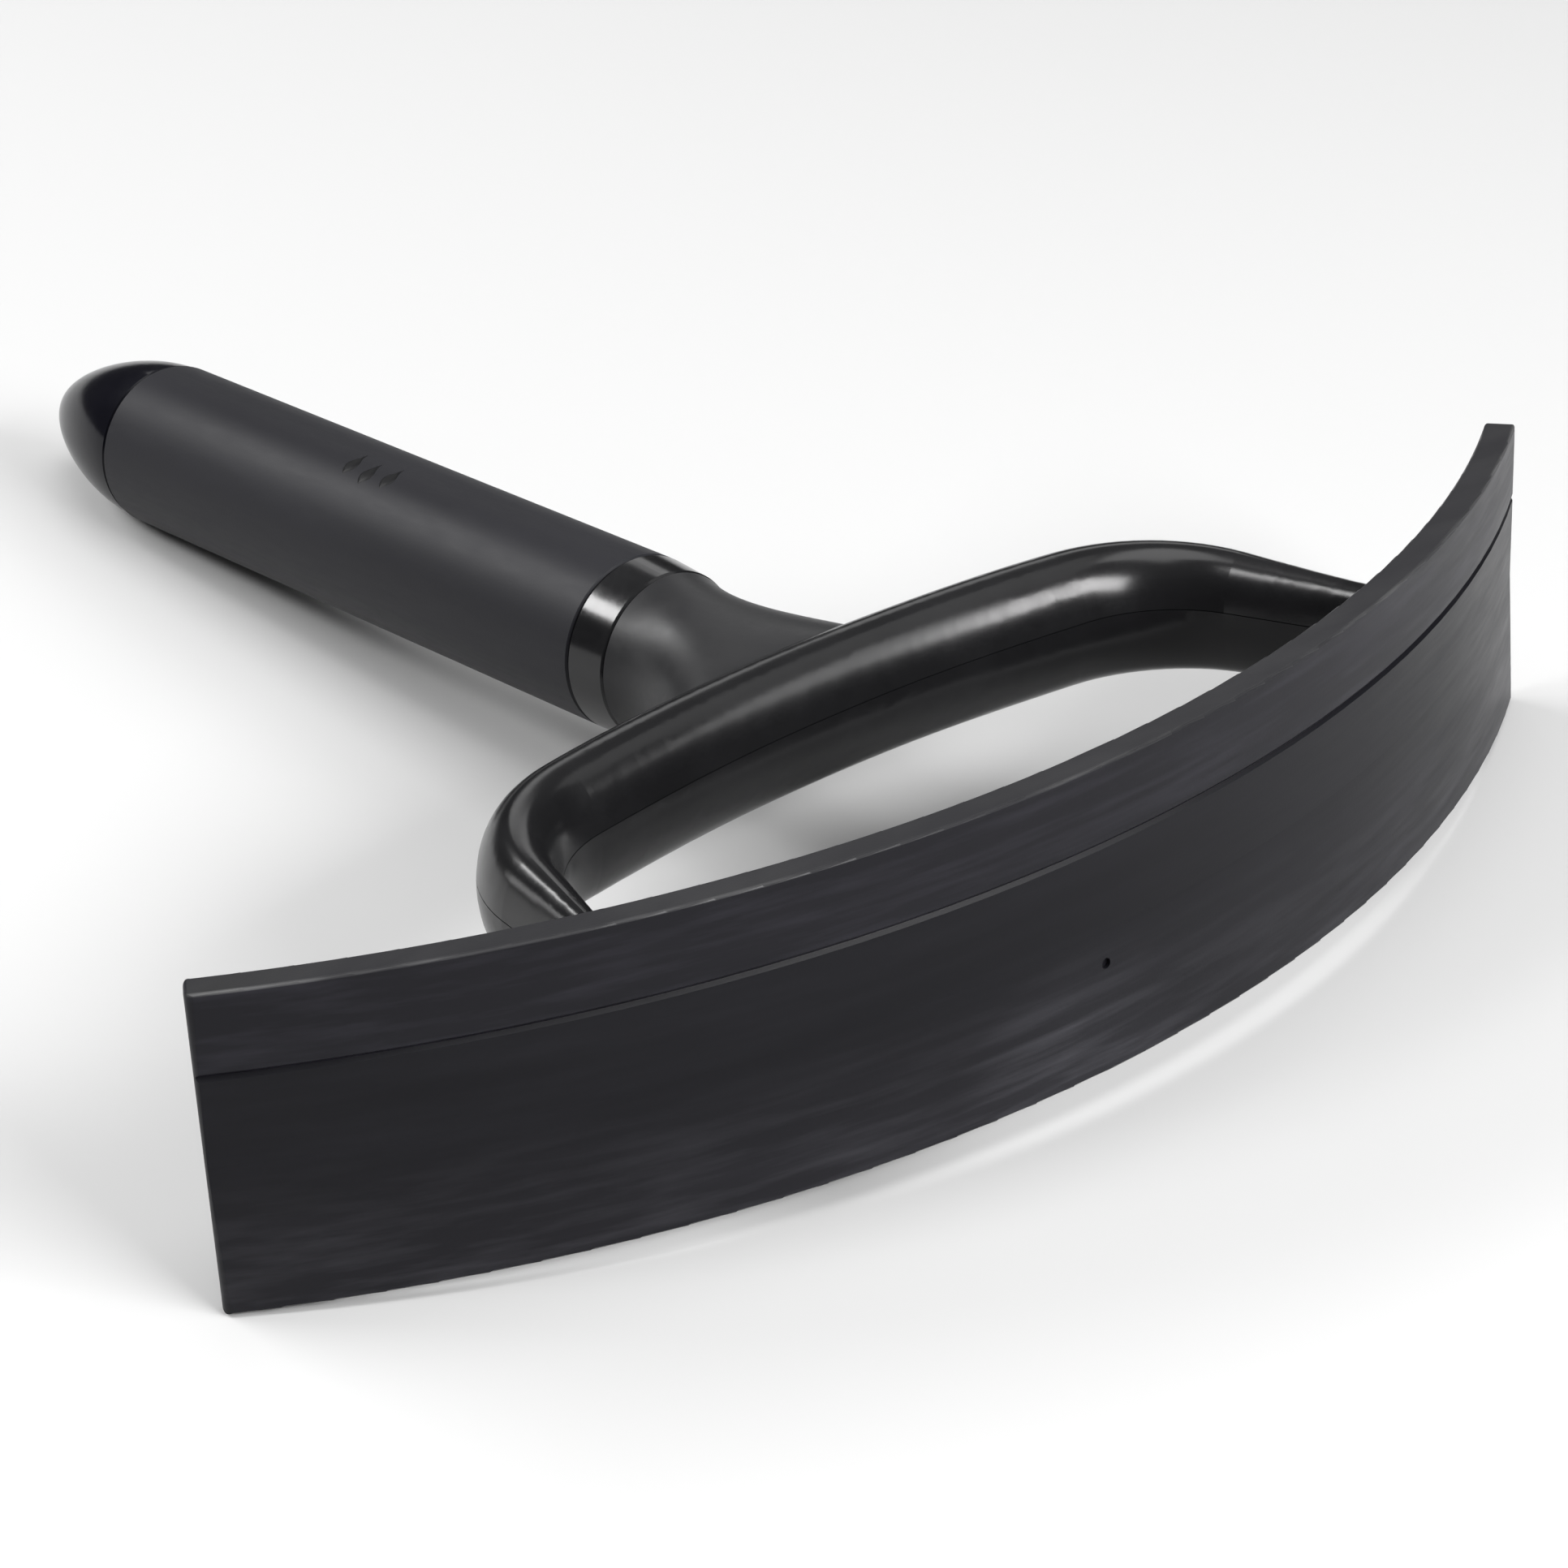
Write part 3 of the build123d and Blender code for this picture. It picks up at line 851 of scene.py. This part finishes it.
@dataclass(frozen=True)
class Softbox:
    """A soft rectangular studio light.

    Attributes:
        name: Name of the light.
        azimuth: Direction from the tool, in degrees from +x towards +y.
        elevation: Direction above the horizon, in degrees.
        distance: Distance from the tool, in metres.
        width: Level size, in metres.
        height: Upright size, in metres.
        power: Power in watts.
    """

    name: str
    azimuth: float
    elevation: float
    distance: float
    width: float
    height: float
    power: float

    def build(self, target: Vector) -> None:
        """Hang the light.

        Args:
            target: The point that the light faces.
        """
        azimuth, elevation = math.radians(self.azimuth), math.radians(self.elevation)
        level = math.cos(elevation)
        ahead, aside = math.cos(azimuth) * level, math.sin(azimuth) * level
        towards = Vector((ahead, aside, math.sin(elevation)))
        data = bpy.data.lights.new(self.name, "AREA")
        data.shape = "RECTANGLE"
        data.size, data.size_y, data.energy = self.width, self.height, self.power
        light = bpy.data.objects.new(self.name, data)
        light.location = target + towards * self.distance
        light.rotation_euler = towards.to_track_quat("Z", "Y").to_euler()
        light.visible_camera = False
        bpy.context.collection.objects.link(light)
        log.info("%s hung", self.name)


@dataclass
class Studio:
    """The floor, the lights and the camera.

    Attributes:
        target: The point that the camera looks at, in metres.
        azimuth: Camera's direction, 0 looks along +y, in degrees.
        elevation: Camera's height above the horizon, in degrees.
        roll: Camera's turn about its own axis, in degrees.
        distance: Camera's distance from the target, in metres.
        lens: Focal length, in millimetres.
        sensor: Width of the camera's sensor, in millimetres.
        near_clip: Nearest distance that the camera sees, in metres.
        floor_half: Half the floor's side, in metres.
        floor_gap: How far the floor lies below the tool, in metres.
        floor_colour: Colour of the floor.
        floor_roughness: Roughness of the floor.
        floor_specular: Specular level of the floor.
        backdrop: Brightness of the backdrop behind the floor.
        sky: Brightness straight overhead.
        horizon: Brightness near the horizon.
        sky_start: Height where the sky starts to brighten, from 0 at the horizon to 1 overhead.
        sky_full: Height where the sky is at its brightest.
        softboxes: The lights.
    """

    target: Vector = field(default_factory=lambda: Vector((0.083039, -0.019198, 0.034856)))
    azimuth: float = 47.8387
    elevation: float = 30.2825
    roll: float = 0.9202
    distance: float = 0.710406
    lens: float = 106.462
    sensor: float = 36.0
    near_clip: float = 0.01
    floor_half: float = 3.0
    floor_gap: float = 0.0002
    floor_colour: tuple[float, float, float] = (0.49, 0.49, 0.49)
    floor_roughness: float = 0.9
    floor_specular: float = 0.1
    backdrop: float = 0.95
    sky: float = 0.3
    horizon: float = 0.03
    sky_start: float = 0.25
    sky_full: float = 0.95
    softboxes: tuple[Softbox, ...] = (
        Softbox(
            "front_softbox",
            azimuth=12.0,
            elevation=32.0,
            distance=1.3,
            width=0.85,
            height=0.4,
            power=24.0,
        ),
        Softbox(
            "side_softbox",
            azimuth=41.0,
            elevation=33.0,
            distance=1.3,
            width=0.5,
            height=0.4,
            power=2.4,
        ),
        Softbox(
            "high_softbox",
            azimuth=72.0,
            elevation=52.0,
            distance=1.3,
            width=0.8,
            height=0.6,
            power=1.3,
        ),
        Softbox(
            "back_softbox",
            azimuth=142.0,
            elevation=24.0,
            distance=1.3,
            width=0.8,
            height=0.3,
            power=1.1,
        ),
        Softbox(
            "rear_softbox",
            azimuth=-153.0,
            elevation=36.0,
            distance=1.3,
            width=0.8,
            height=0.2,
            power=11.5,
        ),
        Softbox(
            "leg_softbox",
            azimuth=-115.0,
            elevation=44.0,
            distance=1.3,
            width=0.3,
            height=0.3,
            power=5.5,
        ),
        Softbox(
            "near_softbox",
            azimuth=-146.7,
            elevation=7.8,
            distance=0.471,
            width=0.08,
            height=0.06,
            power=0.06,
        ),
        Softbox(
            "top_softbox",
            azimuth=0.0,
            elevation=89.9,
            distance=1.4,
            width=1.0,
            height=1.0,
            power=10.5,
        ),
    )

    def build_floor(self) -> None:
        """Lay a plain pale floor just under the tool."""
        half = self.floor_half
        corners = [(-half, -half, 0.0), (half, -half, 0.0), (half, half, 0.0), (-half, half, 0.0)]
        data = bpy.data.meshes.new("studio_floor")
        data.from_pydata(corners, [], [(0, 1, 2, 3)])
        floor = bpy.data.objects.new("studio_floor", data)
        floor.location.z = -self.floor_gap
        material = bpy.data.materials.new("floor_paper")
        material.use_nodes = True
        shader = material.node_tree.nodes["Principled BSDF"]
        shader.inputs["Base Color"].default_value = (*self.floor_colour, 1.0)
        shader.inputs["Roughness"].default_value = self.floor_roughness
        shader.inputs["Specular IOR Level"].default_value = self.floor_specular
        data.materials.append(material)
        bpy.context.collection.objects.link(floor)

    def build_sky(self) -> None:
        """Light the scene softly from above, dim near the horizon, with a pale backdrop."""
        world = bpy.data.worlds.new("studio")
        world.use_nodes = True
        tree = world.node_tree
        plain = tree.nodes["Background"]
        place = tree.nodes.new("ShaderNodeTexCoord")
        parts = tree.nodes.new("ShaderNodeSeparateXYZ")
        rise = tree.nodes.new("ShaderNodeMapRange")
        rise.interpolation_type = "SMOOTHSTEP"
        rise.inputs["From Min"].default_value = self.sky_start
        rise.inputs["From Max"].default_value = self.sky_full
        rise.inputs["To Min"].default_value = self.horizon
        rise.inputs["To Max"].default_value = self.sky
        tree.links.new(place.outputs["Generated"], parts.inputs[0])
        tree.links.new(parts.outputs["Z"], rise.inputs["Value"])
        tree.links.new(rise.outputs["Result"], plain.inputs["Strength"])
        pale = tree.nodes.new("ShaderNodeBackground")
        pale.inputs["Strength"].default_value = self.backdrop
        path = tree.nodes.new("ShaderNodeLightPath")
        mix = tree.nodes.new("ShaderNodeMixShader")
        tree.links.new(path.outputs["Is Camera Ray"], mix.inputs[0])
        tree.links.new(plain.outputs[0], mix.inputs[1])
        tree.links.new(pale.outputs[0], mix.inputs[2])
        tree.links.new(mix.outputs[0], tree.nodes["World Output"].inputs["Surface"])
        plain.inputs["Color"].default_value = WHITE
        pale.inputs["Color"].default_value = WHITE
        bpy.context.scene.world = world

    def build_camera(self) -> None:
        """Set up the camera."""
        azimuth, elevation = math.radians(self.azimuth), math.radians(self.elevation)
        roll = math.radians(self.roll)
        level = math.cos(elevation)
        back = Vector((math.sin(azimuth) * level, -math.cos(azimuth) * level, math.sin(elevation)))
        right = (-back).cross(Vector((0.0, 0.0, 1.0))).normalized()
        up = right.cross(-back)
        across = right * math.cos(roll) + up * math.sin(roll)
        upright = up * math.cos(roll) - right * math.sin(roll)
        data = bpy.data.cameras.new("camera")
        data.lens, data.sensor_width, data.sensor_fit = self.lens, self.sensor, "HORIZONTAL"
        data.clip_start = self.near_clip
        camera = bpy.data.objects.new("camera", data)
        turn = Matrix((across, upright, back)).transposed()
        camera.matrix_world = Matrix.Translation(self.target + back * self.distance) @ turn.to_4x4()
        bpy.context.collection.objects.link(camera)
        bpy.context.scene.camera = camera

    def build(self) -> None:
        """Build the floor, the sky, the lights and the camera."""
        self.build_floor()
        self.build_sky()
        for softbox in self.softboxes:
            softbox.build(self.target)
        self.build_camera()
        bpy.context.scene.view_settings.view_transform = "Standard"
        log.info("studio ready")


def main() -> None:
    """Build every sub-assembly in order, then the studio."""
    logging.basicConfig(level=logging.INFO, format="%(name)s: %(message)s")
    axes = ToolAxes.from_record(frame["record"], GRIP_CENTRE_DEPTH)
    for assembly in (Blade(axes), LoopFrame(axes), NeckAndRing(axes), Grip(axes)):
        assembly.build()
    Studio().build()


if __name__ == "__main__":
    main()
